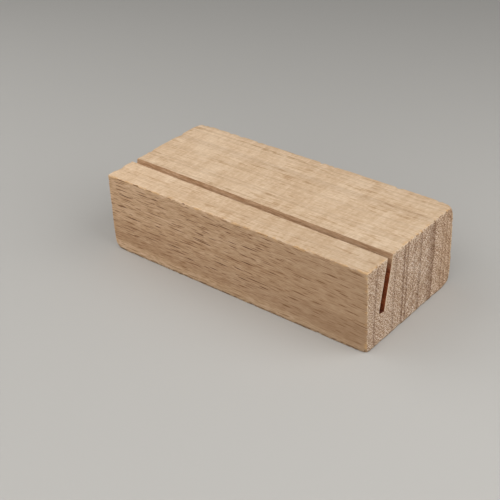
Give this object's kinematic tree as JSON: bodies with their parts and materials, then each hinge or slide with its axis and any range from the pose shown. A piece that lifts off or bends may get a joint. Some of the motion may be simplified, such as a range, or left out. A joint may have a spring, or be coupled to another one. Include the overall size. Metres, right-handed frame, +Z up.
{
  "type": "table number holder",
  "caption": "Solid beech block with a narrow slot sawn along its top, leaning back, that a table number card stands in.",
  "frame": {"origin": "middle of the flat underside that the block stands on", "axes": "+X along the block's length and along its slot, +Y from the front (the long side nearest the slot) to the back, +Z up"},
  "size_m": [0.055, 0.025, 0.015],
  "materials": {
    "beech": "finely sanded, bare, satin to matt"
  },
  "bodies": {
    "root": {"slotted_block": "beech"}
  },
  "joints": []
}
